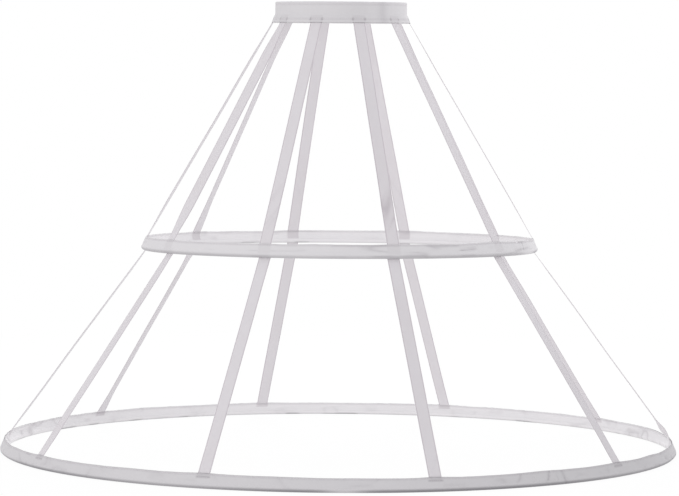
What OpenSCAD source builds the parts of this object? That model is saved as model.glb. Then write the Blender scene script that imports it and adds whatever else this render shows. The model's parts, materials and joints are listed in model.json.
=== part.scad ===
// Crinoline cage: an elastic waistband, straight cloth tapes, and two hoops that are wires in sewn casings.
// Sizes are in millimetres and degrees. Z is up, and the hem lies on z = 0.
// Angles round the cage start at the front, which faces -Y, and grow towards +X.
// Sections are drawn as [radius, height] and turned about the Z axis.

/* [Hoops] */
// Outer diameter of the hem, which is the bottom hoop's casing
hem_d = 1080; // [900:10:1300]
// Outer diameter of the middle hoop's casing
middle_d = 635; // [500:5:760]
// Height of the middle casing's lowest point
middle_z = 320; // [260:5:400]
// Diameter of the hoop wire
wire_d = 6; // [5:0.1:8]
// Gap between the two ends of a hoop wire, inside its joiner
wire_end_gap = 2; // [1:0.5:6]

/* [Joiners] */
// Length of the sleeve that joins a wire's ends
joiner_l = 38; // [24:1:60]
// Wall of the sleeve
joiner_wall = 0.4; // [0.3:0.1:1]
// Play between the wire and the sleeve, on the radius
joiner_play = 0.05; // [0.02:0.01:0.2]
// Angle of the bottom hoop's joiner
bottom_joint_angle = 1; // [-8:1:8]
// Bay of the middle hoop's joiner, counted from the first tape
middle_joint_bay = 2; // [1:1:6]

/* [Casings] */
// Height of a casing along its slope
casing_h = 20; // [17:0.5:30]
// Lean of a casing, top edge inwards
casing_lean = 22; // [5:1:30]
// Thickness of the cloth
cloth_t = 0.6; // [0.4:0.1:1]
// Length over which the ends of a casing are lapped
lap_l = 40; // [20:1:60]
// Angle of the lap in the hem's casing
hem_lap_angle = 34; // [-40:1:40]

/* [Seams] */
// Depth of the seams that hold the ends of the tapes
seam_h = 6; // [4:0.5:7]
// Room left beside a layer of cloth or tape
layer_gap = 0.2; // [0.1:0.05:0.4]

/* [Tapes] */
// Number of tapes
tape_count = 10; // [6:1:14]
// Angle of the first tape
tape_start = 15; // [0:1:36]
// Width of a tape
tape_w = 19; // [12:0.5:26]
// Thickness of a tape
tape_t = 0.6; // [0.4:0.1:1]

/* [Waistband] */
// Outer diameter of the waistband's upright part
waist_d = 211; // [180:1:260]
// Height of the waistband's lower edge at the sides, on the outside
waist_z = 685; // [580:1:780]
// Tilt of the waistband, higher at the back
waist_tilt = 2.4; // [0:0.1:4]
// Height of the upright part, which holds the elastic
band_h = 20; // [16:0.5:40]
// Height of the flared part, where the tapes are sewn in
flare_h = 13; // [9:0.5:20]
// Lean of the flared part, lower edge outwards
flare_lean = 25; // [10:1:32]
// Thickness of the elastic
elastic_t = 1.6; // [1:0.1:3]

/* [Hidden] */
$fn = 96;
overcut = 1;
cloth_color = "#d9d4da";
tape_color = "#e0dae0";
elastic_color = "#f1efea";
wire_color = "#eceae4";
joiner_color = "#b4b7bb";

// A casing's section has its origin on the wire's axis: its first axis is outwards, its second up the slope
wire_r = wire_d / 2;
joiner_r = wire_r + joiner_play + joiner_wall;
slit_w = tape_t + 2 * layer_gap;
channel_r = max(joiner_r + layer_gap, wire_r + slit_w);
casing_r = channel_r + cloth_t;
meet_angle = 10;
channel_face = channel_r * cos(meet_angle);
casing_face = channel_face + cloth_t;
casing_top = casing_h - casing_r;
seam_low = casing_top - seam_h;
seam_middle = channel_face - slit_w / 2;
hem_axis = [hem_d / 2 - casing_r, casing_r];
middle_axis = [middle_d / 2 - casing_r, middle_z + casing_r];

// The waistband's path runs up its outer face, so that left of the path is inwards
band_t = elastic_t + 2 * (layer_gap + cloth_t);
flare_foot = [waist_d / 2 + flare_h * tan(flare_lean), waist_z];
flare_knee = [waist_d / 2, waist_z + flare_h];
flare_up = unit(flare_knee - flare_foot);
fold_center = [waist_d / 2 - band_t / 2, waist_z + flare_h + band_h - band_t / 2];
band_path = [flare_foot, flare_knee, [waist_d / 2, fold_center[1]]];
chamber_low = flare_knee[1] + cloth_t;
tilt_center = [0, flare_knee[1]];
// A tape lies askew in the seam of a tilted band, which is wider for it
waist_slit_w = slit_w + tape_w * sin(waist_tilt) * sin(flare_lean);

// A tape runs from the waistband's seam through the middle casing, inside its wire, to the hem's seam
waist_mouth = beside(band_path, 0, band_t / 2);
middle_mouth = in_casing(middle_axis, [seam_middle, casing_top]);
hem_mouth = in_casing(hem_axis, [seam_middle, casing_top]);
bend_r = wire_r + layer_gap + tape_t / 2;
bend_steps = 4;
bend_from = touch_angle([seam_middle, seam_low], bend_r, 1);
bend_to = 360 + touch_angle(turned(hem_mouth - middle_axis, -casing_lean), bend_r, -1);
bend = [
    for (i = [0 : bend_steps])
        in_casing(middle_axis, polar(bend_r, bend_from + (bend_to - bend_from) * i / bend_steps))
];
bend_end = bend[bend_steps];
outlet_path = [bend_end, bend_end + 2 * casing_r * unit(hem_mouth - bend_end)];
outlet_gap = 2 * layer_gap;
tape_pitch = 360 / tape_count;
middle_joint_angle = tape_start + (middle_joint_bay - 0.5) * tape_pitch;

function tape_name(i) = str("tape_", i < 10 ? "0" : "", i);
function tape_angle(i) = tape_start + (i - 1) * tape_pitch;
function unit(v) = v / norm(v);
function polar(r, a) = r * [cos(a), sin(a)];
function turned(p, a) = [p[0] * cos(a) - p[1] * sin(a), p[0] * sin(a) + p[1] * cos(a)];

// A point of a casing's section, as radius and height
function in_casing(axis, p) = axis + turned(p, casing_lean);

// A point of the level waistband's section, where the tilt takes it at the angle a
function at_waist(p, a) = tilt_center + turned(p - tilt_center, -waist_tilt * cos(a));

// The middle line of a tape at the angle a, from the waistband down to the hem
function tape_path(a) = concat(
    [at_waist(waist_mouth + seam_h * flare_up, a), at_waist(waist_mouth, a)],
    [middle_mouth, in_casing(middle_axis, [seam_middle, seam_low])],
    bend,
    [hem_mouth, in_casing(hem_axis, [seam_middle, seam_low])]
);

// The angle at which a line from p touches the circle of radius r about the origin, on one side of p
function touch_angle(p, r, side) = atan2(p[1], p[0]) + side * acos(r / norm(p));

// The direction to the left of the run from a to b
function left_of(a, b) = turned(unit(b - a), 90);

// Point i of a path, moved left of the path by d, with mitred corners
function beside(path, i, d) =
    let (last = len(path) - 1)
    let (before = left_of(path[max(i - 1, 0)], path[max(i, 1)]))
    let (after = left_of(path[min(i, last - 1)], path[min(i + 1, last)]))
    path[i] + d * (before + after) / (1 + before * after);

// The outline of a strip along a path, from d1 to d2 on its left
function strip(path, d1, d2) = concat(
    [for (i = [0 : len(path) - 1]) beside(path, i, d1)],
    [for (i = [len(path) - 1 : -1 : 0]) beside(path, i, d2)]
);

module at_angle(a) {
    rotate(a - 90)
        children();
}

// A turned piece that covers length l of a ring of radius r, centred on the angle a
module arc_piece(a, l, r) {
    sweep = l / r * 180 / PI;
    at_angle(a - sweep / 2)
        rotate_extrude(angle = sweep)
            children();
}

// The outline of a casing, or of its hollow: a round with a flat outer face that runs up into a neck
module pouch(r, face, neck_w, top) {
    neck = [face - neck_w, seam_low];
    circle(r);
    polygon([[face, 0], [face, top], [neck[0], top], neck, polar(face, touch_angle(neck, face, 1))]);
}

module casing_section(axis) {
    translate(axis)
        rotate(casing_lean)
            difference() {
                pouch(casing_r, casing_face, slit_w + 2 * cloth_t, casing_top);
                pouch(channel_r, channel_face, slit_w, casing_top + overcut);
            }
}

// The end of a casing's strip, lapped over its beginning on the outer face
module casing_lap(axis, a) {
    low = casing_r * sin(meet_angle) + cloth_t;
    arc_piece(a, lap_l, axis[0])
        translate(axis)
            rotate(casing_lean)
                translate([casing_face - cloth_t / 2, low])
                    square([1.5 * cloth_t, casing_top - cloth_t - low]);
}

module hoop_wire(axis, a) {
    arc_piece(a + 180, 2 * PI * axis[0] - wire_end_gap, axis[0])
        translate(axis)
            circle(wire_r);
}

module hoop_joiner(axis, a) {
    arc_piece(a, joiner_l, axis[0])
        translate(axis)
            difference() {
                circle(joiner_r);
                circle(wire_r + joiner_play);
            }
}

// A strip of tape at the angle 0: a slice, w wide, of its path turned about the cage's axis
module tape_slice(path, w, t) {
    sweep = 40;
    intersection() {
        rotate(-sweep / 2)
            rotate_extrude(angle = sweep)
                polygon(strip(path, -t / 2, t / 2));
        translate([0, -w / 2, 0])
            cube([hem_d, w, fold_center[1]]);
    }
}

module tape(i) {
    color(tape_color)
        at_angle(tape_angle(i))
            tape_slice(tape_path(tape_angle(i)), tape_w, tape_t);
}

// A ring of the waist, turned about the tilted axis
module waist_ring() {
    translate([0, 0, tilt_center[1]])
        rotate([waist_tilt, 0, 0])
            translate([0, 0, -tilt_center[1]])
                rotate_extrude()
                    children();
}

module waistband() {
    color(cloth_color)
        waist_ring()
            difference() {
                union() {
                    polygon(strip(band_path, 0, band_t));
                    translate(fold_center)
                        circle(band_t / 2);
                }
                translate(fold_center)
                    circle(band_t / 2 - cloth_t);
                translate([fold_center[0] - band_t / 2 + cloth_t, chamber_low])
                    square([band_t - 2 * cloth_t, fold_center[1] - chamber_low]);
                polygon(strip(
                    [flare_foot - overcut * flare_up, flare_knee, [flare_knee[0], chamber_low + overcut]],
                    (band_t - waist_slit_w) / 2,
                    (band_t + waist_slit_w) / 2
                ));
            }
}

module waist_elastic() {
    low = chamber_low + layer_gap;
    color(elastic_color)
        waist_ring()
            translate([fold_center[0] - elastic_t / 2, low])
                square([elastic_t, fold_center[1] - low]);
}

module middle_hoop_casing() {
    color(cloth_color)
        difference() {
            union() {
                rotate_extrude()
                    casing_section(middle_axis);
                casing_lap(middle_axis, middle_joint_angle);
            }
            for (i = [1 : tape_count])
                at_angle(tape_angle(i))
                    tape_slice(outlet_path, tape_w + 2 * outlet_gap, tape_t + 2 * outlet_gap);
        }
}

module middle_hoop_wire() {
    color(wire_color)
        hoop_wire(middle_axis, middle_joint_angle);
}

module middle_hoop_joiner() {
    color(joiner_color)
        hoop_joiner(middle_axis, middle_joint_angle);
}

module bottom_hoop_casing() {
    color(cloth_color) {
        rotate_extrude()
            casing_section(hem_axis);
        casing_lap(hem_axis, hem_lap_angle);
    }
}

module bottom_hoop_wire() {
    color(wire_color)
        hoop_wire(hem_axis, bottom_joint_angle);
}

module bottom_hoop_joiner() {
    color(joiner_color)
        hoop_joiner(hem_axis, bottom_joint_angle);
}

waistband();
waist_elastic();
middle_hoop_casing();
middle_hoop_wire();
middle_hoop_joiner();
bottom_hoop_casing();
bottom_hoop_wire();
bottom_hoop_joiner();
for (i = [1 : tape_count])
    tape(i);
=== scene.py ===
# %% [markdown]
# # A crinoline cage
# A crinoline cage is an underskirt without cloth panels: tapes hang from an elastic waistband and two hoops
# hold them out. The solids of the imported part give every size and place. This lesson dresses them as sewn
# cloth, piece by piece, and each piece is a surface worked out with numpy.

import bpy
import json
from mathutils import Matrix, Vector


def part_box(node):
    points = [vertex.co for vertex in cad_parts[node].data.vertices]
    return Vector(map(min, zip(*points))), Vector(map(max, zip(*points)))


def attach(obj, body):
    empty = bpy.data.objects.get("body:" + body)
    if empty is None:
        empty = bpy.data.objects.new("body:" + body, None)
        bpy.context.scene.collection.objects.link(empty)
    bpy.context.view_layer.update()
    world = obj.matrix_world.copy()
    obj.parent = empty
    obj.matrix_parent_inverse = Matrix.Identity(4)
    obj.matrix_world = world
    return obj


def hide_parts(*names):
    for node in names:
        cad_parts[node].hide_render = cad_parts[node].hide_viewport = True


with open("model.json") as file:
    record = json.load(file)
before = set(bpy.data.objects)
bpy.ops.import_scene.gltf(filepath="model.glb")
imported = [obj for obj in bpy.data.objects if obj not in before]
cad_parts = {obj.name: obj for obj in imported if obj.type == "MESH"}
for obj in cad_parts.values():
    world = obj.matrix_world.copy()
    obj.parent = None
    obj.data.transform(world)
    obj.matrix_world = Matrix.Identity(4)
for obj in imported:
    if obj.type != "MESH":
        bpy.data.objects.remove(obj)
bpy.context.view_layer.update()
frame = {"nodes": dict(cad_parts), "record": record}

# %% [markdown]
# Each hoop is a wire in a casing, and the casing leans with the slope of the skirt. The wire's own box gives
# the circle that it follows, so nothing here has to be fitted by eye. The few sizes that a box can't show,
# such as the lean and the width of a tape, are written down once.

# %% Read the sizes of the hoops
import math

import bpy
import numpy as np

MM = 0.001
LEAN = math.radians(22)
CASING_H = 20 * MM
CLOTH_T = 0.6 * MM
SEAM_H = 6 * MM
TAPE_W = 19 * MM
TAPE_T = 0.6 * MM
TAPE_ROOM = 0.2 * MM


def hoop_sizes(wire, casing):
    """Radius and height of the wire's axis, radii of wire and casing, and the casing's top above the axis."""
    low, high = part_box(wire)
    wire_r = (high[2] - low[2]) / 2
    axis_r = (high[0] - low[0]) / 2 - wire_r
    axis_z = (high[2] + low[2]) / 2
    casing_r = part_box(casing)[1][0] - axis_r
    return {"r": axis_r, "z": axis_z, "wire_r": wire_r, "casing_r": casing_r, "top": CASING_H - casing_r}


HEM = hoop_sizes("bottom_hoop_wire", "bottom_hoop_casing")
MIDDLE = hoop_sizes("middle_hoop_wire", "middle_hoop_casing")
for name, hoop in (("hem", HEM), ("middle hoop", MIDDLE)):
    print(name, {key: round(value / MM, 2) for key, value in hoop.items()}, "mm")

# %% [markdown]
# Angles round the cage start at the front, which faces -Y, and grow towards +X. A tape's box is symmetric
# about its own direction, so the middle of the box gives the tape's angle.

# %% Read the angles of the tapes and the joiners
FULL_TURN = 2 * math.pi


def box_angle(name):
    """Angle round the cage of the middle of a node's box."""
    low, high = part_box(name)
    return math.atan2(low[0] + high[0], -low[1] - high[1])


TAPES = sorted(name for name in frame["nodes"] if name.startswith("tape_"))
TAPE_ANGLES = np.array([box_angle(name) for name in TAPES])
TAPE_PITCH = FULL_TURN / len(TAPES)
HEM["joint"] = box_angle("bottom_hoop_joiner")
MIDDLE["joint"] = box_angle("middle_hoop_joiner")
print("tapes at", np.degrees(TAPE_ANGLES).round(1), "degrees")
print("joiners at", np.degrees([HEM["joint"], MIDDLE["joint"]]).round(1), "degrees")


def turn_from(angle, middle):
    """Angle past a middle direction, between minus and plus half a turn."""
    return (angle - middle + math.pi) % FULL_TURN - math.pi


def from_tape(angle):
    """Angle past the nearest tape, between minus and plus half a pitch."""
    return (angle - TAPE_ANGLES[0] + TAPE_PITCH / 2) % TAPE_PITCH - TAPE_PITCH / 2


# %% [markdown]
# The waistband is a level ring that was tilted, with its back higher. Its section is drawn level, with heights
# counted from the knee where the upright part meets the flare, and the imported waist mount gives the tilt.

# %% Read the place of the waistband
BAND_H = 20 * MM
BAND_T = 3.2 * MM
FLARE_H = 13 * MM
FLARE_LEAN = math.radians(25)
MOUNT_ABOVE_KNEE = 9 * MM

waist_mount = frame["record"]["mounts"][0]
TILT = math.atan2(-waist_mount["axis"][1], waist_mount["axis"][2])
KNEE_Z = waist_mount["pos_m"][2] - MOUNT_ABOVE_KNEE * math.cos(TILT)
WAIST_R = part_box("waistband")[1][0] - FLARE_H * math.tan(FLARE_LEAN)
FLARE_FOOT = np.array([WAIST_R + FLARE_H * math.tan(FLARE_LEAN), -FLARE_H])
FLARE_OUT = np.array([math.cos(FLARE_LEAN), math.sin(FLARE_LEAN)])
FLARE_UP = np.array([-math.sin(FLARE_LEAN), math.cos(FLARE_LEAN)])
print("waistband: radius", round(WAIST_R / MM, 1), "mm, knee at", round(KNEE_Z / MM, 1), "mm, tilt",
      round(math.degrees(TILT), 2), "degrees")

# %% [markdown]
# Every shape starts as a flat section. These helpers carry a section's points to their place: round the cage's
# axis, onto the tilted waistband, and onto a casing that leans.

# %% Helpers that put points in their place
def around(angle, radius, height):
    """A point at an angle: radius times the sine to +X, and minus radius times the cosine to +Y."""
    place = np.broadcast_arrays(radius * np.sin(angle), -radius * np.cos(angle), height)
    return np.stack(place, axis=-1)


def turned(point, angle):
    """A point of a flat figure, turned about the origin: x cos - y sin, and x sin + y cos."""
    x, y = point
    return np.array([x * math.cos(angle) - y * math.sin(angle), x * math.sin(angle) + y * math.cos(angle)])


def tilted(points):
    """Turns points of the level waistband about the X axis by the tilt, and lifts them to the knee's height."""
    x, y, z = np.moveaxis(points, -1, 0)
    y, z = turned((y, z), TILT)
    return np.stack([x, y, KNEE_Z + z], axis=-1)


def in_casing(hoop, u, v):
    """Radius and height of a casing's point: u out of its flat face and v up its slope, turned by the lean."""
    radius, height = turned(np.broadcast_arrays(u, v), LEAN)
    return np.stack([hoop["r"] + radius, hoop["z"] + height], axis=-1)


print("front of the hem's wire:", around(0, HEM["r"], HEM["z"]).round(3), "m")

# %% [markdown]
# Every cloth piece here is a thin closed strip. A grid of points is enough for it: rows run along the strip
# and columns run once round its thin section, over one face and back under the other. One helper turns such a
# grid into a mesh with a UV map in metres, so that a weave can be drawn at its real scale.

# %% Helpers that make a mesh from a grid of points
def new_piece(name, points, faces):
    """A smooth mesh of points and faces, in an object at the origin that rides on the cage's one body."""
    mesh = bpy.data.meshes.new(name)
    mesh.from_pydata(points.reshape(-1, 3).tolist(), [], faces)
    mesh.polygons.foreach_set("use_smooth", np.ones(len(faces), bool))
    piece = bpy.data.objects.new(name, mesh)
    bpy.context.scene.collection.objects.link(piece)
    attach(piece, "root")
    return piece


def strip_piece(name, points, along, across, ring=False, **marks):
    """Four-sided faces between neighbours of a grid of points.

    A ring's last row joins its first, and an open strip gets a row of faces over each end. along and across
    are the distances of the rows and columns in metres, one longer where they join. marks are numbers at the
    points. Faces that enclose less than nothing point inwards, and are turned round.
    """
    rows, cols = points.shape[:2]
    i, j = np.meshgrid(np.arange(rows if ring else rows - 1), np.arange(cols), indexing="ij")
    corner_i = np.stack([i, i + 1, i + 1, i], axis=-1).reshape(-1, 4)
    corner_j = np.stack([j, j, j + 1, j + 1], axis=-1).reshape(-1, 4)
    uv = np.stack([np.asarray(along)[corner_i], np.asarray(across)[corner_j]], axis=-1)
    faces = corner_i % rows * cols + corner_j % cols
    if not ring:
        k = np.arange(cols // 2 - 1)
        cap = np.stack([k, k + 1, cols - 2 - k, cols - 1 - k], axis=-1)
        caps = np.concatenate([cap, cap[:, ::-1] + (rows - 1) * cols])
        faces = np.concatenate([faces, caps])
        uv = np.concatenate([uv, np.zeros((len(caps), 4, 2))])
    a, b, c, d = np.moveaxis(points.reshape(-1, 3)[faces], 1, 0)
    if np.einsum("ij,ij->", a, np.cross(b, c)) + np.einsum("ij,ij->", a, np.cross(c, d)) < 0:
        faces, uv = faces[:, ::-1], uv[:, ::-1]
    piece = new_piece(name, points, faces.tolist())
    uv_map = piece.data.uv_layers.new(name="cloth")
    uv_map.data.foreach_set("uv", np.ascontiguousarray(uv, np.float32).ravel())
    for mark, values in marks.items():
        values = np.broadcast_to(values, (rows, cols)).astype(np.float32).ravel()
        piece.data.attributes.new(mark, "FLOAT", "POINT").data.foreach_set("value", values)
    print(f"{name}: {rows * cols} points, {2 * len(faces)} triangles")
    return piece


# %% [markdown]
# Cloth is never quite smooth. Soft random heights give the slack of a casing, and the lines where such heights
# change sign make sharp creases when they are folded up. The random numbers repeat after a whole turn, so a
# ring closes without a step, and their seed is fixed, so that every run gives the same cloth.

# %% Helpers for slack and creases
RUMPLE_CELLS = 64


def rumple(x, y, cells, seed):
    """Random heights from -1 to 1 at whole x and y, blended by 3t^2 - 2t^3. x repeats after cells."""
    heights = np.random.default_rng(seed).uniform(-1, 1, (cells, RUMPLE_CELLS))
    i, j = np.floor(x).astype(int), np.floor(y).astype(int)
    s, t = x - i, y - j
    s, t = s * s * (3 - 2 * s), t * t * (3 - 2 * t)
    i0, i1, j0, j1 = i % cells, (i + 1) % cells, j % RUMPLE_CELLS, (j + 1) % RUMPLE_CELLS
    below = heights[i0, j0] * (1 - s) + heights[i1, j0] * s
    above = heights[i0, j1] * (1 - s) + heights[i1, j1] * s
    return below * (1 - t) + above * t


def ring_waves(angle, q, radius, long, wide, seed):
    """Random heights in soft patches, long round a ring of some radius and wide across its cloth."""
    cells = round(FULL_TURN * radius / long)
    return rumple(angle / FULL_TURN * cells, q / wide, cells, seed)


def crease_lines(heights):
    """1 on the lines where soft random heights pass through 0, and falling quickly to 0 beside them."""
    return (1 - np.abs(heights)) ** 5


def bell(x, width):
    """A smooth bump: e to the power of minus (x / width) squared."""
    return np.exp(-((x / width) ** 2))


def ramp(x, low, high):
    """0 below low, 1 above high, and 3t^2 - 2t^3 between them."""
    t = np.clip((x - low) / (high - low), 0, 1)
    return t * t * (3 - 2 * t)


def fall(x, low, high):
    """1 below low, 0 above high, and 1 minus the ramp between them."""
    return 1 - ramp(x, low, high)


print("a ring's heights meet:", np.isclose(rumple(0.25, 0.0, 8, 1), rumple(8.25, 0.0, 8, 1)))

# %% [markdown]
# A casing is one strip of cloth, folded round the wire and sewn shut above it. Its section is therefore a U:
# down the outer layer, round under the wire, and up the inner layer. The line is drawn once as two straight
# runs and an arc, and the strip's two faces lie half the cloth's thickness to either side of it.

# %% The section of a casing
LAYERS = TAPE_T + 2 * TAPE_ROOM + CLOTH_T
CASING_COLUMNS = 40
TOP_CROWDING = 1.25
ARC_POINTS = 24


def touch(point, radius, side):
    """Angle at which a line from a point touches a circle about the origin, on one side of the point."""
    return math.atan2(point[1], point[0]) + side * math.acos(radius / math.hypot(*point))


def distances(points):
    """Distance walked to each point of a line of straight runs."""
    return np.append(0, np.cumsum(np.linalg.norm(np.diff(points, axis=0), axis=1)))


def resampled(points, count, crowd=1):
    """Points along a line of straight runs, evenly spaced, or crowded towards its start by a power."""
    walked = distances(points)
    at = walked[-1] * np.linspace(0, 1, count) ** crowd
    return np.stack([np.interp(at, walked, points[:, k]) for k in range(points.shape[1])], axis=-1), at


def left_normals(line):
    """Unit normals on the left of a line, from the differences between its neighbours."""
    run = np.gradient(line, axis=0)
    run /= np.linalg.norm(run, axis=-1, keepdims=True)
    return np.stack([-run[..., 1], run[..., 0]], axis=-1)


def casing_line(hoop):
    """Middle of a casing's cloth: down the flat outer face, round an arc, over to the neck and up to the top."""
    r = hoop["casing_r"] - CLOTH_T / 2
    neck = (r - LAYERS, hoop["top"] - SEAM_H)
    sweep = np.linspace(0, touch(neck, r, 1) - FULL_TURN, ARC_POINTS)
    arc = r * np.stack([np.cos(sweep), np.sin(sweep)], axis=-1)
    corners = np.concatenate([[(r, hoop["top"])], arc, [neck, (neck[0], hoop["top"])]])
    return resampled(corners, CASING_COLUMNS, crowd=TOP_CROWDING)


print("a casing's strip is", round(casing_line(HEM)[1][-1] / MM, 1), "mm wide before it is folded")

# %% [markdown]
# A casing has three zones across its strip: the outer face, the round under the wire and the inner face. A tape
# holds the cloth flat where it passes under it. Elsewhere the cloth lies in folds where it was pushed along.
# These could be drawn by hand, one by one, but lines in a random field look more like chance.

# %% The zones and folds of a casing
OUTER_ENDS = (0.28, 0.36)
INNER_STARTS = (0.68, 0.74)
TAPE_HALO = 1.5 * MM
FOLD_SLANT = 1.5
SLANT_L = 140 * MM
FOLD_BREAKS = (30 * MM, 9 * MM)


def casing_zones(walked):
    """Shares of the outer face, the inner face and the round between them, by the share of the strip's width."""
    part = walked / walked.max()
    outer, inner = fall(part, *OUTER_ENDS), ramp(part, *INNER_STARTS)
    return outer, inner, 1 - outer - inner


def on_tapes(angle, radius):
    """1 over a tape, falling to 0 within a halo beside it."""
    return fall(np.abs(from_tape(angle) * radius), TAPE_W / 2, TAPE_W / 2 + TAPE_HALO)


def casing_folds(hoop, a, q):
    """Lines of the folds, which run on a changing slant and break off here and there."""
    r, seed = hoop["r"], hoop["seed"] + 2
    slant = FOLD_SLANT * ring_waves(a, 0 * q, r, SLANT_L, 1, seed)
    lines = crease_lines(ring_waves(a + slant * q / r, q, r, *hoop["fold_size"], seed + 1))
    return lines * ramp(ring_waves(a, q, r, *FOLD_BREAKS, seed + 3), -0.1, 0.5)


print("the outer face ends between", OUTER_ENDS, "of the strip's width")

# %% [markdown]
# The cloth of a casing was gathered a little by its seam: it puckers along the stitches and bags over the wire.
# The joiner makes a lump, and one end of the strip is lapped over the other. All of that is one height for each
# point, added along the section's normal. Tapes and slack lift the top edge. The hem stays flat on the floor.

# %% The heights of a casing's cloth
STITCH_DOWN = 1.8 * MM
PUCKER_L, PUCKER_REACH = 7 * MM, 4 * MM
BAG_SIZE = (26 * MM, 17 * MM)
GROOVE_H, GROOVE_W = 0.3 * MM, 1 * MM
LUMP_H, LUMP_L = 0.9 * MM, 24 * MM
LAP_L, LAP_EDGE = 40 * MM, 0.1 * MM
LAP_FOOT = (1 * MM, 2 * MM)
ROUND_LOOSE, ROUND_BAGS = 0.5 * MM, 0.35 * MM
OUTER_BAGS, OUTER_PUCKERS = 0.25 * MM, 0.4 * MM
INNER_SINKS, INNER_PUCKERS = 0.7 * MM, 0.3 * MM
TAPE_LIFT_H, TAPE_LIFT_L = 0.9 * MM, 26 * MM
LONG_WAVE_H, LONG_WAVE_L = 0.8 * MM, 110 * MM
SLACK_WAVE_L = 45 * MM


def casing_heights(hoop, a, line, walked):
    """Height of the cloth along its normal: bags, folds, puckers, the joiner's lump and the lapped end."""
    r, q, v, seed = hoop["r"], walked[None], line[None, :, 1], hoop["seed"]
    outer, inner, rounded = casing_zones(q)
    from_seam = v - hoop["top"] + STITCH_DOWN
    bag = ring_waves(a, q, r, *BAG_SIZE, seed)
    pucker = ring_waves(a, 0 * q, r, PUCKER_L, 1, seed + 1) * bell(from_seam, PUCKER_REACH)
    groove = GROOVE_H * bell(from_seam, GROOVE_W)
    folds = hoop["slack"](a) * (0.5 - casing_folds(hoop, a, q))
    lump = LUMP_H * bell(turn_from(a, hoop["joint"]) * r, LUMP_L)
    from_lap = np.abs(turn_from(a, hoop["lap"])) * r - LAP_L / 2
    lap = CLOTH_T * fall(from_lap, -LAP_EDGE, LAP_EDGE) * ramp(v, *LAP_FOOT)
    above_lowest = line @ (math.sin(LEAN), math.cos(LEAN)) + hoop["casing_r"]
    off_floor = ramp(above_lowest, 0, hoop["casing_r"])
    free = 1 - on_tapes(a, r)
    on_round = off_floor * (ROUND_LOOSE + ROUND_BAGS * bag + 0.8 * folds + lump)
    on_outer = free * (folds + OUTER_BAGS * bag + OUTER_PUCKERS * pucker) - groove + lap
    on_inner = free * (0.3 * folds - INNER_SINKS) + INNER_PUCKERS * pucker
    return rounded * on_round + outer * on_outer + inner * on_inner


def top_lift(hoop, a):
    """How far the top edge is pulled up: near tapes, in long waves, and where the cloth is slack."""
    r, seed = hoop["r"], hoop["seed"]
    at_tapes = TAPE_LIFT_H * bell(from_tape(a) * r, TAPE_LIFT_L)
    long_waves = LONG_WAVE_H * ring_waves(a, 0 * a, r, LONG_WAVE_L, 1, seed + 8)
    slack_waves = ring_waves(a, 0 * a, r, SLACK_WAVE_L, 1, seed + 9)
    return at_tapes + long_waves + hoop["slack"](a) * (0.6 + 0.8 * slack_waves)


print("the seam lies", round(STITCH_DOWN / MM, 1), "mm below a casing's top edge")

# %% [markdown]
# Three numbers at each point tell the cloth's material where to change its tone: over a tape, where the two
# layers and the tape stop the light; painted crease shade in folds, stitches and tacks; and painted shade, which
# makes the outside a little greyer than the inside and darkens the bottom, under the wire.

# %% The tones of a casing's cloth
TACK_DOWN = 5.2 * MM
STITCH_SHADE, EDGE_SHADE, TAPE_EDGE = 1.1 * MM, 1 * MM, 1 * MM
OUTSIDE_ENDS = (0.46, 0.62)
SHADE_SPOTS = (34 * MM, 12 * MM)
SHADE_DRIFT = 260 * MM
TAUT_L = 30 * MM


def casing_painted_shade(hoop, a, q, v):
    """Share of painted shade: even outside, and more under the wire, varying slowly outside and spotty inside."""
    r, casing_r, width, seed = hoop["r"], hoop["casing_r"], q.max(), hoop["seed"]
    outside = fall(q, *(share * width for share in OUTSIDE_ENDS))
    under = fall(v, -0.75 * casing_r, 0.3 * casing_r)
    spots = 0.25 + 0.75 * ramp(ring_waves(a, q, r, *SHADE_SPOTS, seed + 5), 0.3, 0.6)
    drift = 0.85 + 0.15 * ring_waves(a, 0 * q, r, SHADE_DRIFT, 1, seed + 6)
    slack_share = 1 - 0.5 * bell(turn_from(a, hoop["joint"]) * r, TAUT_L)
    # Painted shade: the bottom of the casing is darker, as it lies in shade under the wire.
    shaded_under = hoop["dust"] * slack_share * under * (outside * drift + (1 - outside) * spots)
    return np.maximum(hoop["handled"] * outside, shaded_under)


def casing_tones(hoop, a, line, walked):
    """Shares of tape behind the cloth, of painted crease shade and of painted shade outside and below, at each
    point.
    """
    q, v = walked[None], line[None, :, 1]
    from_top = v - hoop["top"]
    outer, inner, _ = casing_zones(q)
    covered = on_tapes(a, hoop["r"])
    tape_here = covered * ramp(from_top, -hoop["tape_in"] - TAPE_EDGE, -hoop["tape_in"])
    tacks = bell(from_top + TACK_DOWN, STITCH_SHADE) + 0.8 * bell(from_top, EDGE_SHADE)
    tacked = hoop["tacks"] * covered * outer * tacks
    sewn = (0.45 + 0.2 * covered) * bell(from_top + STITCH_DOWN, STITCH_SHADE) * (outer + inner)
    fold_share = np.clip(hoop["slack"](a) / MM, 0.3, 1) * (1 - covered * outer)
    folds = casing_folds(hoop, a, q) * fold_share
    return {
        "tape_under": tape_here * (0.35 * outer + inner),
        # painted shade in folds, along the seam, and at the tacks and the top edge over tapes
        "creased": np.clip(0.6 * folds + sewn + tacked, 0, 1),
        # painted shade over the outside and along the bottom, under the wire
        "soiled": casing_painted_shade(hoop, a, q, v),
    }


print("tacks lie", round(TACK_DOWN / MM, 1), "mm below the hem's top edge")

# %% [markdown]
# A casing's line, moved by its heights, becomes two faces, and each point of them is turned about the cage's axis.
# Two extra rows stand close together at each edge of the lap, so that it ends in a sharp step.

# %% The surface of a casing
LAP_ROWS = 0.15 * MM
LIFT_FOOT = 3 * MM


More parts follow.
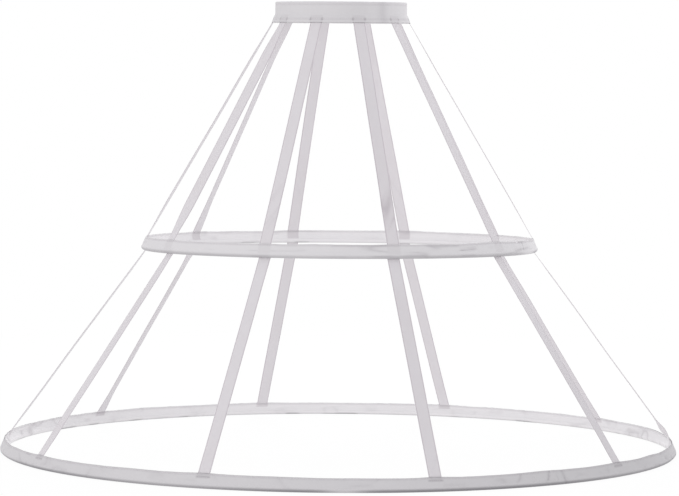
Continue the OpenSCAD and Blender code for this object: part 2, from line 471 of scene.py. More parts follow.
def two_faces(middle, normal, walked):
    """Points of both faces of folded cloth, half its thickness off its middle, and the distances across them.

    The inside runs back to the start over every second point, because little of it is seen.
    """
    inside = (middle - normal * CLOTH_T / 2)[:, ::-2]
    section = np.concatenate([middle + normal * CLOTH_T / 2, inside], axis=1)
    return section, np.concatenate([walked, walked[-1] + walked[::2], [2 * walked[-1]]])


def face_marks(tones, q):
    """Tones at the points of both faces, in the order of those points."""
    full = {name: tone + 0 * q for name, tone in tones.items()}
    return {name: np.concatenate([tone, tone[:, ::-2]], axis=1) for name, tone in full.items()}


def casing_surface(hoop):
    """Points of a folded strip: the section's line, moved by its heights, and turned about the cage's axis."""
    line, walked = casing_line(hoop)
    normal = left_normals(line)
    half_lap = LAP_L / 2 + np.array([-LAP_ROWS, LAP_ROWS])
    lap_edges = (hoop["lap"] + np.append(-half_lap, half_lap) / hoop["r"]) % FULL_TURN
    angle = np.unique(np.append(np.linspace(0, FULL_TURN, hoop["rows"], endpoint=False), lap_edges))
    a, q, v = angle[:, None], walked[None], line[None, :, 1]
    middle = line + normal * casing_heights(hoop, a, line, walked)[..., None]
    middle[..., 1] += top_lift(hoop, a) * ramp(v, LIFT_FOOT, hoop["top"])
    section, across = two_faces(middle, normal, walked)
    points = around(a, *np.moveaxis(in_casing(hoop, section[..., 0], section[..., 1]), -1, 0))
    marks = face_marks(casing_tones(hoop, a, line, walked), q)
    return points, angle, walked, across, marks


# %% [markdown]
# The photo shows where the cloth is slack: right of the front on the middle hoop, and at the hem's two ends and
# beside its lap. The middle casing is lapped over its joiner, the hem's a little to the right. Only the hem is
# tacked down over the tapes' ends, and its folds are short. Those of the middle casing are long and narrow.

# %% Make the casings
HEM_SLACK, END_SLACK, LAP_SLACK, LAP_REACH = 0.35 * MM, 0.8 * MM, 1.0 * MM, 0.12
MIDDLE_SLACK, BUNCHED_SLACK, BUNCHED_AT, BUNCHED_REACH = 0.45 * MM, 1.4 * MM, math.radians(42), 0.5


def hem_slack(angle):
    """Slack of the hem's casing: more at the left and right ends and where its end is lapped."""
    at_lap = LAP_SLACK * bell(turn_from(angle, HEM["lap"]), LAP_REACH)
    return HEM_SLACK + END_SLACK * np.sin(angle) ** 6 + at_lap


def middle_slack(angle):
    """Slack of the middle casing: more on the right of the front, where the cloth is bunched."""
    return MIDDLE_SLACK + BUNCHED_SLACK * bell(turn_from(angle, BUNCHED_AT), BUNCHED_REACH)


# lap is the middle of the lapped end, tape_in how far down a tape reaches, and the two shares after lap are
# painted shade, under the wire and over the outside.
HEM.update(lap=math.radians(34), dust=1.0, handled=0.34, tape_in=SEAM_H, tacks=1,
           fold_size=(24 * MM, 26 * MM), slack=hem_slack, rows=1500, seed=11)
MIDDLE.update(lap=MIDDLE["joint"], dust=0.65, handled=0.2, tape_in=CASING_H, tacks=0,
              fold_size=(90 * MM, 7 * MM), slack=middle_slack, rows=1000, seed=23)
CASINGS = {}
for name, hoop in (("hem", HEM), ("middle", MIDDLE)):
    points, angle, walked, across, marks = casing_surface(hoop)
    along = np.append(angle, FULL_TURN) * hoop["r"]
    piece = strip_piece(name + "_casing", points, along, across, ring=True, **marks)
    flat = (walked[-1], FULL_TURN * hoop["r"])
    CASINGS[name] = {"piece": piece, "points": points, "angle": angle, "walked": walked, "flat": flat}
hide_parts("bottom_hoop_casing")
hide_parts("middle_hoop_casing")

# %% [markdown]
# The waistband is a strip folded over at the top, with the elastic inside. Its section is an upside-down U that
# leans out below the knee, where the tapes' ends are caught between the two layers and the layers close on
# them. It is stretched fairly smooth, so it gets only fine upright ripples from the elastic, a groove along each
# row of stitches, and a small notch at both edges of each tape, where the seam pulls. The grooves and notches
# are also painted darker as shade, a soft shade right of the front is painted shade alone, and the whole outside
# is painted a little darker as shade.

# %% The section of the waistband
BAND_STITCH = -FLARE_H + 5.5 * MM
EDGE_STITCH = BAND_H - 4.5 * MM
BAND_COLUMNS = 44
BAND_FOLD_POINTS = 9


def band_line():
    """Middle of the band's cloth: up the flare and the upright face, over a half round, and down the inside."""
    half, deep = BAND_T / 2, BAND_T - CLOTH_T / 2
    fold_r = half - CLOTH_T / 2
    turn = np.linspace(0, math.pi, BAND_FOLD_POINTS)
    fold = np.stack([WAIST_R - half + fold_r * np.cos(turn), BAND_H - half + fold_r * np.sin(turn)], axis=-1)
    knee = np.array([WAIST_R, 0])
    mitre = np.array([1, math.tan(FLARE_LEAN / 2)])
    outer = [FLARE_FOOT - FLARE_OUT * CLOTH_T / 2, knee - mitre * CLOTH_T / 2]
    inner = [knee - mitre * deep, FLARE_FOOT - FLARE_OUT * deep]
    return resampled(np.concatenate([outer, fold, inner]), BAND_COLUMNS)


print("the waistband's strip is", round(band_line()[1][-1] / MM, 1), "mm wide before it is folded")

# %% [markdown]
# The band's surface is made as a casing's is: heights along the normal, two faces, and a turn about the axis,
# which is tilted here.

# %% Make the waistband
BAND_OUTER_ENDS = (0.46, 0.5)
RIPPLE_SIZE, RIPPLE_H = (6 * MM, 30 * MM), 0.12 * MM
RIPPLE_FOOT = (-8 * MM, 2 * MM)
BAND_SWAY_L, BAND_SWAY_H = 45 * MM, 0.06 * MM
CLOSES_BELOW = -6 * MM
TAPE_SHOWS = (-3 * MM, -1 * MM)
TAPE_STANDS, BAND_GROOVE_H, NOTCH_H = 0.25 * MM, 0.3 * MM, 0.9 * MM
BAND_GROOVE_W, EDGE_GROOVE_W, NOTCH_SIZE = 1.1 * MM, 0.9 * MM, (1.5 * MM, 1.6 * MM)
SHADE_AT, SHADE_REACH = math.radians(38), 0.08
BAND_ROWS, BAND_SEED = 800, 37


def band_surface():
    """Points of the folded band, moved along its normal by ripples and grooves and turned about its axis."""
    line, walked = band_line()
    normal = -left_normals(line)
    angle = np.linspace(0, FULL_TURN, BAND_ROWS, endpoint=False)
    a, q, h = angle[:, None], walked[None], line[None, :, 1]
    outer = fall(q, *(share * walked[-1] for share in BAND_OUTER_ENDS))
    covered = on_tapes(a, WAIST_R)
    tape_here = covered * fall(h, *TAPE_SHOWS)
    from_edge = np.abs(from_tape(a)) * WAIST_R - TAPE_W / 2
    notch = bell(from_edge, NOTCH_SIZE[0]) * bell(h - BAND_STITCH, NOTCH_SIZE[1])
    grooves = bell(h - BAND_STITCH, BAND_GROOVE_W) + bell(h - EDGE_STITCH, EDGE_GROOVE_W)
    ripple = ring_waves(a, q, WAIST_R, *RIPPLE_SIZE, BAND_SEED) * ramp(h, *RIPPLE_FOOT)
    sway = ring_waves(a, 0 * q, WAIST_R, BAND_SWAY_L, 1, BAND_SEED + 1)
    closed = (BAND_T / 2 - CLOTH_T - TAPE_T / 2 * covered) * fall(h, -FLARE_H, CLOSES_BELOW)
    sewn = TAPE_STANDS * tape_here - BAND_GROOVE_H * grooves - NOTCH_H * notch
    height = RIPPLE_H * ripple + BAND_SWAY_H * sway - closed + outer * sewn
    section, across = two_faces(line[None] + normal[None] * height[..., None], normal, walked)
    points = tilted(around(a, section[..., 0], section[..., 1]))
    shade = bell(turn_from(a, SHADE_AT), SHADE_REACH)
    # Painted shade in grooves, notches and right of the front, and over the whole outside.
    tones = {
        "tape_under": 0.35 * tape_here * outer,
        "creased": outer * np.clip(0.35 * grooves + 1.5 * notch + 0.3 * shade, 0, 1),
        "soiled": 0.28 * outer,
    }
    return points, np.append(angle, FULL_TURN) * WAIST_R, across, face_marks(tones, q), walked[-1]


band_points, along, across, marks, band_width = band_surface()
band = strip_piece("waistband_cloth", band_points, along, across, ring=True, **marks)
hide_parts("waistband")

# %% [markdown]
# A tape is a woven ribbon. It starts in the waistband's seam, runs straight to the middle casing, passes between
# its two layers and behind its wire, comes out below, and ends in the hem's seam. The path is a line of radius
# and height in the tape's own upright plane.

# %% The path of a tape
BEND_POINTS = 7


def tape_path(angle):
    """Radius and height along a tape, the distances at which its two free runs start and end, and its length.

    Two points lie in each seam, and the bend between the middle seam and the hem is an arc round the wire.
    """
    mouth = FLARE_FOOT - FLARE_OUT * BAND_T / 2
    lift = np.array([0, KNEE_Z])
    waist = [turned(p, -TILT * math.cos(angle)) + lift for p in (mouth + SEAM_H * FLARE_UP, mouth)]
    seam_u = MIDDLE["casing_r"] - CLOTH_T - TAPE_ROOM - TAPE_T / 2
    seam_v = (MIDDLE["top"], MIDDLE["top"] - SEAM_H)
    middle, hem = ([in_casing(hoop, seam_u, v) for v in seam_v] for hoop in (MIDDLE, HEM))
    bend_r = MIDDLE["wire_r"] + TAPE_ROOM + TAPE_T / 2
    to_hem = turned(hem[0] - np.array([MIDDLE["r"], MIDDLE["z"]]), -LEAN)
    bend_start = touch((seam_u, seam_v[1]), bend_r, 1)
    bend_end = touch(to_hem, bend_r, -1) + FULL_TURN
    sweep = np.linspace(bend_start, bend_end, BEND_POINTS)
    bend = in_casing(MIDDLE, bend_r * np.cos(sweep), bend_r * np.sin(sweep))
    path = np.concatenate([waist, middle, bend, hem])
    walked = distances(path)
    return path, walked[[1, 2, 3 + BEND_POINTS, 4 + BEND_POINTS]], walked[-1]


path, stops, length = tape_path(TAPE_ANGLES[0])
print("the first tape is", round(length / MM), "mm long and is held at", (stops / MM).round(), "mm")

# %% [markdown]
# The ribbon is the path with a flat section carried along it, a little thicker at its selvedges, and turned on
# edge here and there because it was sewn in with a twist. The twists are read off the photo as how much wider or
# narrower a tape looks than a flat one would: one tape at the left is turned towards the front, and one behind
# it is turned away. One at the right turns a little way out of line just above the hem.

# %% The section and the twist of a tape
TWISTS = {
    "tape_02": (-3, 2), "tape_03": (3, 4), "tape_06": (3, -2), "tape_07": (13, 13),
    "tape_08": (-6, -3), "tape_09": (22, 3), "tape_10": (2, -3),
}
HEM_TURNS = {"tape_03": 22}
HEM_TURN_UP, HEM_TURN_L, HEM_TURN_EASE = 20 * MM, 14 * MM, 10 * MM
EASE_ABOVE, EASE_BELOW = 70 * MM, 50 * MM
HALF_SECTION = 13


def tape_section():
    """Places across the tape from -1 to 1, over one face and back under the other, and heights of its faces.

    Half the thickness is less in the middle, has a bead near each selvedge, and closes at the edge itself.
    """
    side = np.sin(np.linspace(-math.pi / 2, math.pi / 2, HALF_SECTION))
    part = np.concatenate([side, side[::-1]])[None]
    edge = np.abs(part)
    bead = 0.85 + 0.5 * bell(edge - 0.9, 0.06)
    half_t = TAPE_T / 2 * bead * np.sqrt(np.clip(1.03 - edge**8, 0, 1))
    return part, half_t * np.repeat([1, -1], HALF_SECTION)


def tape_runs(s, stops):
    """Shares of the free runs above and below the middle hoop, which fade out where the tape is held."""
    upper = ramp(s, stops[0], stops[0] + EASE_ABOVE) * fall(s, stops[1] - EASE_ABOVE, stops[1])
    lower = ramp(s, stops[2], stops[2] + EASE_BELOW) * fall(s, stops[3] - EASE_BELOW, stops[3])
    return upper, lower


def tape_twist(name, s, stops):
    """Angle of the twist along a tape: one for each free run, and a short turn just above the hem."""
    upper, lower = tape_runs(s, stops)
    above, below = np.radians(TWISTS.get(name, (0, 0)))
    hem_turn = math.radians(HEM_TURNS.get(name, 0)) * bell(s - stops[3] + HEM_TURN_UP, HEM_TURN_L)
    return above * upper + below * lower + hem_turn * fall(s, stops[3] - HEM_TURN_EASE, stops[3])


print("twisted tapes, in degrees above and below the middle hoop:", TWISTS)

# %% [markdown]
# A tape also cups a little across its width, sways along its length, and has small slanting creases above the
# middle hoop and at the hem, which are also painted darker as shade. Most show on the tape right of the middle.

# %% Make the tapes
CREASED = {"tape_01": 1.2, "tape_10": 0.5, "tape_05": 0.5}
PLAIN_CREASE = 0.2
FIRST_TAPE_SEED = 50
TAPE_STEP = 2.2 * MM
SMOOTHINGS = 2
CUP_H = 0.5 * MM
TAPE_SWAY_L, TAPE_SWAY_H = 90 * MM, 0.5 * MM
WANDER_L, WANDER_W = 140 * MM, 0.4 * MM
CREASE_L, CREASE_SLANT, CREASE_W = 24 * MM, 11 * MM, 25 * MM
CREASES_UP, CREASES_L, HEM_CREASES_L = 55 * MM, 45 * MM, 40 * MM


def tape_surface(name, angle, seed):
    """Points of a ribbon: a path in the tape's upright plane, with a flat section across it.

    Across the ribbon a point lies w to the side and h out of the path: h is minus w times the sine of the
    twist, plus a shallow cup, sway, creases and the face's own height.
    """
    path, stops, length = tape_path(angle)
    line, walked = resampled(path, round(length / TAPE_STEP))
    for _ in range(SMOOTHINGS):
        line[1:-1] = (line[:-2] + 2 * line[1:-1] + line[2:]) / 4
    normal = left_normals(line)
    s = walked[:, None]
    part, face = tape_section()
    w = part * TAPE_W / 2
    upper, lower = tape_runs(s, stops)
    twist = tape_twist(name, s, stops)

    cup = CUP_H * np.random.default_rng(seed).uniform(-1, 1) * part**2
    sway = TAPE_SWAY_H * rumple(s / TAPE_SWAY_L + seed, 0 * w, RUMPLE_CELLS, seed)
    wander = WANDER_W * upper * rumple(s / WANDER_L, 0 * w + 3, RUMPLE_CELLS, seed + 9)
    near_middle = bell(s - stops[1] + CREASES_UP, CREASES_L) * upper
    near_hem = 0.5 * bell(s - stops[3], HEM_CREASES_L) * lower
    field = rumple(s / CREASE_L + w / CREASE_SLANT, w / CREASE_W + 7, RUMPLE_CELLS, seed + 5)
    creases = CREASED.get(name, PLAIN_CREASE) * crease_lines(field) * np.maximum(near_middle, near_hem)

    h = -w * np.sin(twist) + (upper + lower) * (cup + sway) - creases * MM + face
    out = w * np.cos(twist) + wander
    r = np.sqrt((line[:, :1] + normal[:, :1] * h) ** 2 - out**2)
    z = line[:, 1:] + normal[:, 1:] * h
    points = around(angle, r, z) + out[..., None] * np.array([math.cos(angle), math.sin(angle), 0])
    # The creases' depth is also a mark, which the material paints as crease shade.
    return points, walked, np.append(w[0] + TAPE_W / 2, 0), {"creased": creases}, length


TAPE_PIECES = {}
for seed, (name, angle) in enumerate(zip(TAPES, TAPE_ANGLES), start=FIRST_TAPE_SEED):
    points, along, across, marks, length = tape_surface(name, angle, seed)
    piece = strip_piece(name.replace("tape", "ribbon"), points, along, across, **marks)
    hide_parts(name)
    TAPE_PIECES[name] = (piece, length)

# %% [markdown]
# The seams are sewn with white thread. A stitch is a short bead of thread that dips into the cloth at both ends.
# One bead of four rings is worked out once and repeated along a line of the cloth's own points, so that the
# stitches follow every pucker.

# %% A helper that sews a row of stitches
RING_PLACES = np.array([0, 0.22, 0.78, 1])
RING_SIZES = np.array([0.35, 1, 1, 0.35])
RING_LIFTS = np.array([-0.35, 0.25, 0.25, -0.35])
RINGS = len(RING_PLACES)
RING_POINTS = 6
STITCH_PITCH = 3.0 * MM
STITCH_L = 2.4 * MM
THREAD_D = 0.5 * MM


def beads(line, out):
    """Points of the stitches along a line, from its points and outward directions.

    Each ring's middle lies between two points of the line, lifted out of the cloth, and the ring's own points
    lie round it on a circle across the stitch.
    """
    walked = distances(line)
    places = np.arange(0, walked[-1] - STITCH_L, STITCH_PITCH)[:, None] + STITCH_L * RING_PLACES
    middle, up = (
        np.stack([np.interp(places, walked, field[:, k]) for k in range(3)], axis=-1) for field in (line, out)
    )
    up /= np.linalg.norm(up, axis=-1, keepdims=True)
    run = middle[:, -1:] - middle[:, :1]
    side = np.cross(run / np.linalg.norm(run, axis=-1, keepdims=True), up)
    turn = np.arange(RING_POINTS)[:, None] * FULL_TURN / RING_POINTS
    ring = up[:, :, None] * np.cos(turn) + side[:, :, None] * np.sin(turn)
    lifted = middle + up * THREAD_D * RING_LIFTS[:, None]
    return lifted[:, :, None] + THREAD_D / 2 * RING_SIZES[:, None, None] * ring


def sew(name, runs):
    """One piece of thread with the stitches of one or more lines: bands of faces between rings, and two ends."""
    points = np.concatenate([beads(line, out) for line, out in runs])
    i, j = np.meshgrid(np.arange(RINGS - 1) * RING_POINTS, np.arange(RING_POINTS), indexing="ij")
    after = (j + 1) % RING_POINTS
    bands = np.stack([i + j, i + after, i + RING_POINTS + after, i + RING_POINTS + j], axis=-1).reshape(-1, 4)
    first = np.arange(RING_POINTS)
    ends = np.stack([first[::-1], first + (RINGS - 1) * RING_POINTS])
    bases = np.arange(len(points))[:, None, None] * RINGS * RING_POINTS
    faces = (bands + bases).reshape(-1, 4).tolist() + (ends + bases).reshape(-1, RING_POINTS).tolist()
    print(f"{name}: {len(points)} stitches")
    return new_piece(name, points, faces)


# %% [markdown]
# Three seams show: one along the top of each casing, and two rows on the waistband. The hem has short extra rows
# over the tapes, where their ends are tacked down.

# %% Sew the seams
BAND_OUTER_COLUMNS = 20


def cloth_row(points, column):
    """A closed line along one column of a ring's points, and its outward directions from the points beside it."""
    line = points[:, column]
    along = np.roll(line, -1, axis=0) - np.roll(line, 1, axis=0)
    out = np.cross(along, points[:, column + 1] - points[:, column - 1])
    out *= np.sign(np.einsum("ij,ij->i", out[:, :2], line[:, :2]))[:, None]
    return np.concatenate([line, line[:1]]), np.concatenate([out, out[:1]])


def casing_row(name, down):
    """The closed line on a casing's outer face at a distance below its top edge."""
    case = CASINGS[name]
    return cloth_row(case["points"], int(np.argmin(np.abs(case["walked"] - down))))


def over_tapes(line, out, angle, radius):
    """The pieces of a closed line that lie over a tape."""
    for tape in TAPE_ANGLES:
        turn = turn_from(angle, tape) * radius
        over = np.flatnonzero(np.abs(turn) < TAPE_W / 2)
        over = over[np.argsort(turn[over])]
        yield line[over], out[over]


hem_tacks = over_tapes(*casing_row("hem", TACK_DOWN), CASINGS["hem"]["angle"], HEM["r"])
hem_thread = sew("hem_stitches", [casing_row("hem", STITCH_DOWN), *hem_tacks])
middle_thread = sew("middle_stitches", [casing_row("middle", STITCH_DOWN)])
heights = band_line()[0][:BAND_OUTER_COLUMNS, 1]
band_columns = [int(np.argmin(np.abs(heights - h))) for h in (BAND_STITCH, EDGE_STITCH)]
band_thread = sew("waist_stitches", [cloth_row(band_points, column) for column in band_columns])

# %% [markdown]
# The casings, the waistband and the tapes keep the sizes of the flat strips they were cut from, and are counted.

print("sheets:", len(CASINGS) + 1 + len(TAPE_PIECES))

# %% [markdown]
# Materials come next. One function turns a written sRGB colour into the linear numbers that Blender mixes, and
# one adds a node with its settings and links.

# %% Helpers for the materials
def linear(hex_color):
    """Linear red, green, blue and 1 from an sRGB colour such as #ddd6db."""
    srgb = np.array([int(hex_color[k : k + 2], 16) for k in (1, 3, 5)]) / 255
    return (*np.where(srgb <= 0.04045, srgb / 12.92, ((srgb + 0.055) / 1.055) ** 2.4), 1.0)


def add_node(tree, kind, inputs=None, **settings):
    """A new node with its settings; each named input is linked if given a socket, and set if given a value."""
    node = tree.nodes.new(kind)
    for key, value in settings.items():
        setattr(node, key, value)
    for key, value in (inputs or {}).items():
        if isinstance(value, bpy.types.NodeSocket):
            tree.links.new(value, node.inputs[key])
        else:
            node.inputs[key].default_value = value
    return node


def new_material(name):
    """An empty material, its node tree and the piece's own coordinates."""
    material = bpy.data.materials.new(name)
    material.use_nodes = True
    material.node_tree.nodes.clear()
    return material, material.node_tree, add_node(material.node_tree, "ShaderNodeTexCoord").outputs["Object"]


print("#808080 is", round(float(linear("#808080")[0]), 3), "in linear light")

# %% [markdown]
# Some steps repeat in these materials. A soft noise blends two close colours, as no cloth is quite even. A weave
# shades it, marks on the mesh tint it with painted shade, and each material ends in one shader.

# %% Steps that the materials share
# A mix node has sockets for each type of data, and these are the ones for colours.
MIX_A, MIX_B, MIX_RESULT = 6, 7, 2


def clouded(tree, place, size, dark, light, detail=3.0):
    """A noise of a real size, and the colour that it blends from a dark and a light one."""
    inputs = {"Vector": place, "Scale": 1 / size, "Detail": detail}
    noise = add_node(tree, "ShaderNodeTexNoise", inputs).outputs["Fac"]
    inputs = {"Factor": noise, MIX_A: linear(dark), MIX_B: linear(light)}
    return noise, add_node(tree, "ShaderNodeMix", inputs, data_type="RGBA").outputs[MIX_RESULT]


def tinted(tree, base, *tints):
    """A colour moved towards each tint, by a share of a number that comes from a mark or a socket."""
    for amount, share, color in tints:
        if isinstance(amount, str):
            amount = add_node(tree, "ShaderNodeAttribute", attribute_name=amount).outputs["Fac"]
        part = add_node(tree, "ShaderNodeMath", {0: amount, 1: share}, operation="MULTIPLY").outputs["Value"]
        inputs = {"Factor": part, MIX_A: base, MIX_B: linear(color)}
        base = add_node(tree, "ShaderNodeMix", inputs, data_type="RGBA").outputs[MIX_RESULT]
    return base


def woven(tree, base, weave, span):
    """A colour times a shade that follows the weave, over a span of shades."""
    shade = add_node(tree, "ShaderNodeMapRange", {"Value": weave, **span}).outputs["Result"]
    inputs = {"Factor": 1.0, MIX_A: base, MIX_B: shade}
    return add_node(tree, "ShaderNodeMix", inputs, data_type="RGBA", blend_type="MULTIPLY").outputs[MIX_RESULT]


def shaded(material, base, rough, bump, sockets):
    """Ends a material: a shader with its colour, roughness, bump and plain sockets, and the output."""
    tree = material.node_tree
    inputs = {"Base Color": base, "Roughness": rough.outputs["Result"], "Normal": bump.outputs["Normal"]}
    shader = add_node(tree, "ShaderNodeBsdfPrincipled", {**inputs, **sockets})
    add_node(tree, "ShaderNodeOutputMaterial", {"Surface": shader.outputs["BSDF"]})
    print(material.name, len(tree.nodes), "nodes")
    return material


def bands_scale(pitch):
    """A wave texture's bands lie pi / 10 apart at scale 1, so this is the scale for a pitch in metres."""
    return math.pi / 10 / pitch


# %% [markdown]
# The casings and the waistband are cotton poplin in plain weave. To the eye that is a dull white, slightly lilac
# in the shade, with a faint grid of threads. Real threads lie 0.4 mm apart, which is too fine to show, so the
# grid is drawn three times as coarse. Where a tape lies underneath, less light comes through and the cloth looks
# darker. Creases, stitches, the outside and the bottom under the wire get painted shade.

# %% Cotton poplin
POPLIN_PITCH = 1.2 * MM
POPLIN_CLOUD = 70 * MM
POPLIN_FUZZ = 3 * MM

poplin, tree, place = new_material("cotton_poplin")
uv = add_node(tree, "ShaderNodeUVMap", uv_map="cloth").outputs["UV"]
threads = {"Vector": uv, "Scale": bands_scale(POPLIN_PITCH), "Distortion": 0.4}
warp, weft = (
    add_node(tree, "ShaderNodeTexWave", threads, bands_direction=direction).outputs["Fac"] for direction in "XY"
)
weave = add_node(tree, "ShaderNodeMath", {0: warp, 1: weft}, operation="ADD").outputs["Value"]
_, base = clouded(tree, place, POPLIN_CLOUD, "#f1eff1", "#f6f4f6")
base = woven(tree, base, weave, {"From Max": 2.0, "To Min": 0.94, "To Max": 1.03})
# Tints: the tape behind the cloth, painted crease shade, and painted shade outside and under the wire.
tints = ("tape_under", 0.45, "#c3bbc1"), ("creased", 0.6, "#9d979d"), ("soiled", 1.0, "#7f7d82")
base = tinted(tree, base, *tints)
fibres = {"Vector": place, "Scale": 1 / POPLIN_FUZZ, "Detail": 2.0}
fuzz = add_node(tree, "ShaderNodeTexNoise", fibres).outputs["Fac"]
relief = add_node(tree, "ShaderNodeMath", {0: weave, 1: fuzz}, operation="ADD").outputs["Value"]
bump = add_node(tree, "ShaderNodeBump", {"Strength": 0.25, "Distance": 0.2 * MM, "Height": relief})
rough = add_node(tree, "ShaderNodeMapRange", {"Value": fuzz, "To Min": 0.78, "To Max": 0.92})
shaded(poplin, base, rough, bump, {"IOR": 1.5, "Sheen Weight": 0.12, "Sheen Roughness": 0.5})

# %% [markdown]
# The tapes are woven ribbon in twill. Twill has slanting ribs, and a tape's two selvedges are woven closer, so
# they look a little darker and raised. The ribs are 0.7 mm apart on the real tape and are drawn twice as coarse.
# A tape is thin enough for light to spread inside it, which softens its shaded side.

# %% Twill tape
TWILL_PITCH = 1.4 * MM
TWILL_CLOUD = 90 * MM
SELVEDGE_W, SELVEDGE_EASE = 1 * MM, 1 * MM

twill, tree, place = new_material("cotton_twill_tape")
uv = add_node(tree, "ShaderNodeUVMap", uv_map="cloth").outputs["UV"]
slants = {"Vector": uv, "Scale": 2 * bands_scale(TWILL_PITCH), "Distortion": 0.5}
ribs = add_node(tree, "ShaderNodeTexWave", slants, bands_direction="DIAGONAL").outputs["Fac"]
across = add_node(tree, "ShaderNodeSeparateXYZ", {"Vector": uv}).outputs["Y"]
from_middle = add_node(tree, "ShaderNodeMath", {0: across, 1: TAPE_W / 2}, operation="SUBTRACT").outputs["Value"]
from_middle = add_node(tree, "ShaderNodeMath", {0: from_middle}, operation="ABSOLUTE").outputs["Value"]
inner_edge = TAPE_W / 2 - SELVEDGE_W
selvedge = add_node(tree, "ShaderNodeMapRange", {
    "Value": from_middle, "From Min": inner_edge - SELVEDGE_EASE, "From Max": inner_edge,
}).outputs["Result"]
cloud, base = clouded(tree, place, TWILL_CLOUD, "#d3ced1", "#dad7db")
base = woven(tree, base, ribs, {"To Min": 0.975, "To Max": 1.01})
# The selvedges are woven darker; the creases get painted shade.
base = tinted(tree, base, (selvedge, 0.7, "#b9b2b8"), ("creased", 0.45, "#a8a1a7"))
bump = add_node(tree, "ShaderNodeBump", {"Strength": 0.08, "Distance": 0.2 * MM, "Height": ribs})
rough = add_node(tree, "ShaderNodeMapRange", {"Value": cloud, "To Min": 0.68, "To Max": 0.82})
shaded(twill, base, rough, bump, {
    "IOR": 1.5, "Sheen Weight": 0.12, "Sheen Roughness": 0.4,
    "Subsurface Weight": 0.45, "Subsurface Radius": (1, 1, 1), "Subsurface Scale": 2 * MM,
})

# %% [markdown]
# Sewing thread is spun polyester, a shade whiter and glossier than the cloth. The pieces inside the seams hardly
# show, but they are real pieces too: a braided elastic, which is dull and cream, hoop wires with a smooth plastic
# coat, and joiners of drawn steel, whose reflections are blurred.

# %% Thread, elastic, wire coat and joiner steel
def speckled(name, dark, light, grain, roughness, **sockets):
    """A plain finish with two close colours in a noise of a real grain size, and roughness that follows it."""
    material, tree, place = new_material(name)
    noise, base = clouded(tree, place, grain, dark, light, detail=2.0)
    span = {"To Min": roughness - 0.06, "To Max": roughness + 0.06}
    rough = add_node(tree, "ShaderNodeMapRange", {"Value": noise, **span})
    bump = add_node(tree, "ShaderNodeBump", {"Strength": 0.15, "Distance": 0.1 * MM, "Height": noise})
    return shaded(material, base, rough, bump, sockets)


thread = speckled("polyester_thread", "#e2dde1", "#efebee", 1 * MM, 0.5, IOR=1.55)
braid = speckled("braided_elastic", "#e3dfd8", "#f2efe9", 1.5 * MM, 0.8)
coat = speckled("plastic_wire_coat", "#e4e1da", "#efede7", 4 * MM, 0.35, IOR=1.5)
steel = speckled("joiner_steel", "#a9acb0", "#bfc2c5", 2 * MM, 0.38, Metallic=1.0)

# %% [markdown]
# New pieces get their material; the name of the imported part's slot that they belong to is only listed beside it.
# The wires, joiners and elastic keep their imported shapes and get a better material.

# %% Give each piece its material
FINISHES = [
    ([case["piece"] for case in CASINGS.values()] + [band], poplin, "casing_cloth"),
    ([piece for piece, _ in TAPE_PIECES.values()], twill, "tape"),
    ([hem_thread, middle_thread, band_thread], thread, "casing_cloth"),
]
for pieces, material, slot in FINISHES:
    for piece in pieces:
        piece.data.materials.append(material)
HIDDEN_FINISHES = {
    "waist_elastic": braid,
    "middle_hoop_wire": coat,
    "bottom_hoop_wire": coat,
    "middle_hoop_joiner": steel,
    "bottom_hoop_joiner": steel,
}
for node, material in HIDDEN_FINISHES.items():
    frame["nodes"][node].material_slots[0].material = material
print("finished pieces:", sum(len(pieces) for pieces, _, _ in FINISHES), "and", len(HIDDEN_FINISHES), "solids")

# %% [markdown]
# The cage stands on a plain pale floor in a white room. The camera sees the floor almost white, with a faint
# shadow near the cage. To rays of bounced light the floor is an even glow, as bright as white paint looks in this
# room. That is simpler than tracing the light on it, and keeps the light on the narrow tapes free of grain.

# %% The floor
FLOOR_HALF = 40.0
SHADOW_NEAR, SHADOW_FAR = 0.8, 2.5
WHITE_SHARE = 0.94


def seen_rays(tree):
    """1 for rays from the camera, and for those that shiny and clear things pass on; 0 for bounced light."""
    rays = add_node(tree, "ShaderNodeLightPath").outputs
    seen = rays["Is Camera Ray"]
    for kind in ("Is Glossy Ray", "Is Transmission Ray"):
        both = add_node(tree, "ShaderNodeMath", {0: seen, 1: rays[kind]}, operation="ADD", use_clamp=True)
        seen = both.outputs["Value"]
    return seen


floor_paint, tree, place = new_material("pale_floor_paint")
matt = add_node(tree, "ShaderNodeBsdfDiffuse", {"Color": linear("#ffffff")}).outputs["BSDF"]
white = add_node(tree, "ShaderNodeEmission", {"Color": linear("#ffffff"), "Strength": 1.0}).outputs["Emission"]
bounce = add_node(tree, "ShaderNodeEmission", {"Color": linear("#fbfafb"), "Strength": 0.85}).outputs["Emission"]
away = add_node(tree, "ShaderNodeVectorMath", {0: place}, operation="LENGTH").outputs["Value"]
share = add_node(tree, "ShaderNodeMapRange", {
    "Value": away, "From Min": SHADOW_NEAR, "From Max": SHADOW_FAR, "To Min": WHITE_SHARE,
}).outputs["Result"]
paint = add_node(tree, "ShaderNodeMixShader", {"Fac": share, 1: matt, 2: white}).outputs["Shader"]
mixed = add_node(tree, "ShaderNodeMixShader", {"Fac": seen_rays(tree), 1: bounce, 2: paint})
add_node(tree, "ShaderNodeOutputMaterial", {"Surface": mixed.outputs["Shader"]})
floor_paint.cycles.emission_sampling = "NONE"

floor_mesh = bpy.data.meshes.new("floor")
corners = [(x * FLOOR_HALF, y * FLOOR_HALF, 0) for x, y in ((-1, -1), (1, -1), (1, 1), (-1, 1))]
floor_mesh.from_pydata(corners, [], [(0, 1, 2, 3)])
floor_mesh.materials.append(floor_paint)
floor = bpy.data.objects.new("floor", floor_mesh)
bpy.context.scene.collection.objects.link(floor)
print("floor", 2 * FLOOR_HALF, "m wide")

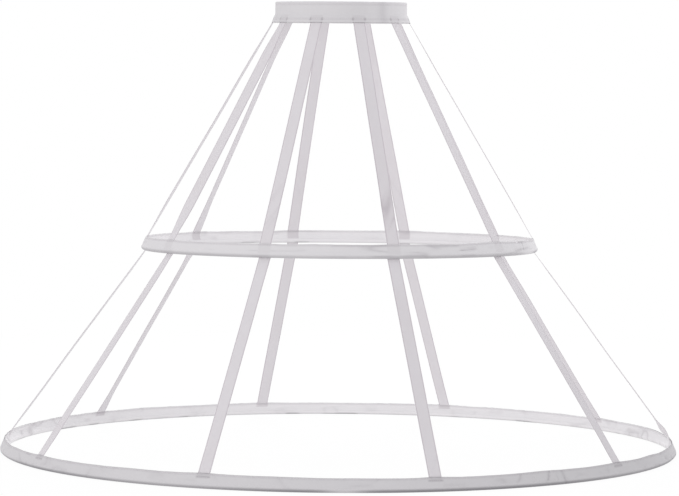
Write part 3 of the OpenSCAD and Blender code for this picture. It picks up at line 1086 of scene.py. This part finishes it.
# %% [markdown]
# The photo was lit softly all round. A white room gives most of the light, one soft lamp at the left front models
# the outside, a spot lamp at the right brightens that end, and one lamp behind shines through the tapes.

# %% Lights
world = bpy.data.worlds.new("white_room")
bpy.context.scene.world = world
world.use_nodes = True
tree = world.node_tree
tree.nodes.clear()
room = add_node(tree, "ShaderNodeBackground", {"Color": linear("#fafafc"), "Strength": 0.78}).outputs["Background"]
white = add_node(tree, "ShaderNodeBackground", {"Color": linear("#ffffff"), "Strength": 1.0}).outputs["Background"]
mixed = add_node(tree, "ShaderNodeMixShader", {"Fac": seen_rays(tree), 1: room, 2: white})
add_node(tree, "ShaderNodeOutputWorld", {"Surface": mixed.outputs["Shader"]})


def soft_lamp(name, kind, place, aim, power, color, **shape):
    """A lamp at a place, turned to the point it aims at, with the settings that give its kind a shape."""
    lamp = bpy.data.lights.new(name, kind)
    for key, value in shape.items():
        setattr(lamp, key, value)
    lamp.energy = power
    lamp.color = linear(color)[:3]
    holder = bpy.data.objects.new(name, lamp)
    holder.location = place
    holder.rotation_euler = (Vector(aim) - Vector(place)).to_track_quat("-Z", "Y").to_euler()
    bpy.context.scene.collection.objects.link(holder)
    print(name, power, "W")


soft_lamp("key_lamp", "AREA", (-3.0, -3.6, 1.2), (0, 0, 0.35), 36, "#fffdfb", size=1.6)
soft_lamp("side_lamp", "SPOT", (2.7, 0.6, 0.95), (0.15, 0, 0.62), 70, "#ffffff",
          spot_size=math.radians(30), spot_blend=1.0, shadow_soft_size=0.3)
soft_lamp("back_lamp", "AREA", (0.3, 3.2, 3.2), (0, 0.3, 0.4), 60, "#ffffff", size=2.0)

# %% [markdown]
# The camera stands 4.2 m in front of the cage, a little below the waist, as the three rings in the photo show,
# and is turned a little so that the right side hangs lower.

# %% Camera
DISTANCE = 4.196
EYE_HEIGHT = 0.495
PITCH = math.radians(2.34)
ROLL = math.radians(0.4)
LENS_MM, SENSOR_MM = 138.41, 36.0

camera_data = bpy.data.cameras.new("camera")
camera_data.lens = LENS_MM
camera_data.sensor_width = SENSOR_MM
camera = bpy.data.objects.new("camera", camera_data)
camera.location = (0, -DISTANCE, EYE_HEIGHT)
tipped = Matrix.Rotation(math.pi / 2 - PITCH, 4, "X") @ Matrix.Rotation(ROLL, 4, "Z")
camera.rotation_euler = tipped.to_euler()
bpy.context.scene.collection.objects.link(camera)
bpy.context.scene.camera = camera
bpy.context.scene.view_settings.view_transform = "Standard"
print("camera at", tuple(round(x, 3) for x in camera.location))

# %% Finish
import json
